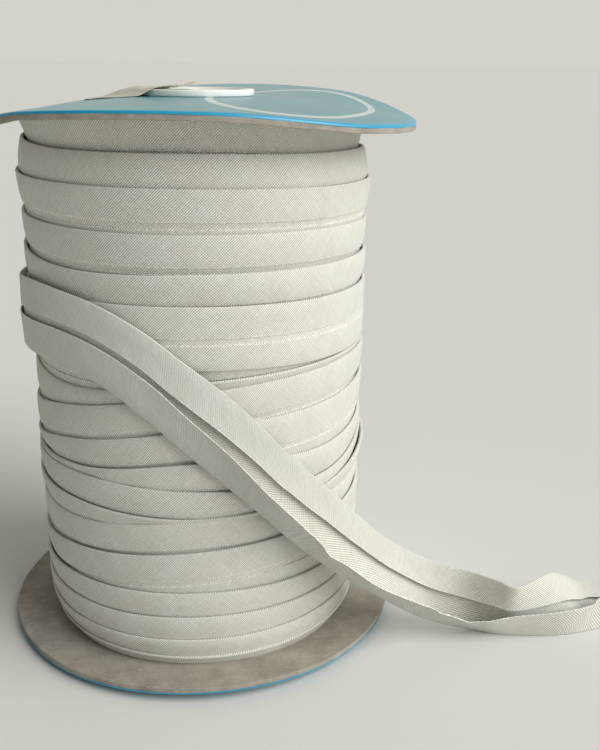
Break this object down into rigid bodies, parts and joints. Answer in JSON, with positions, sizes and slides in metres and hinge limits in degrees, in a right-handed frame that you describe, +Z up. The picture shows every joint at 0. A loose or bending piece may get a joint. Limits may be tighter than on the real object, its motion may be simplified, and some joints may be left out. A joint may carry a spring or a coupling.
{
  "type": "roll of bias tape",
  "caption": "Folded cotton bias tape wound on a hub between two paper-faced board discs, its loose end falling to the table.",
  "frame": {"origin": "centre of the lower hub cap's underside, on the table", "axes": "+Z up along the spool's axis, -Y towards the viewer, +X to the side on which the loose end lies"},
  "size_m": [0.2046, 0.1251, 0.1697],
  "materials": {
    "tape": "woven cotton, matt with a slight sheen",
    "board": "raw greyboard",
    "printed_paper": "coated paper, glossy",
    "cap": "moulded, glossy",
    "label": "uncoated paper, torn"
  },
  "bodies": {
    "root": {"tape_roll": "tape", "loose_tape": "tape", "top_board": "board", "bottom_board": "board", "top_paper": "printed_paper", "bottom_paper": "printed_paper", "top_cap": "cap", "bottom_cap": "cap", "hub_label": "label"}
  },
  "joints": []
}
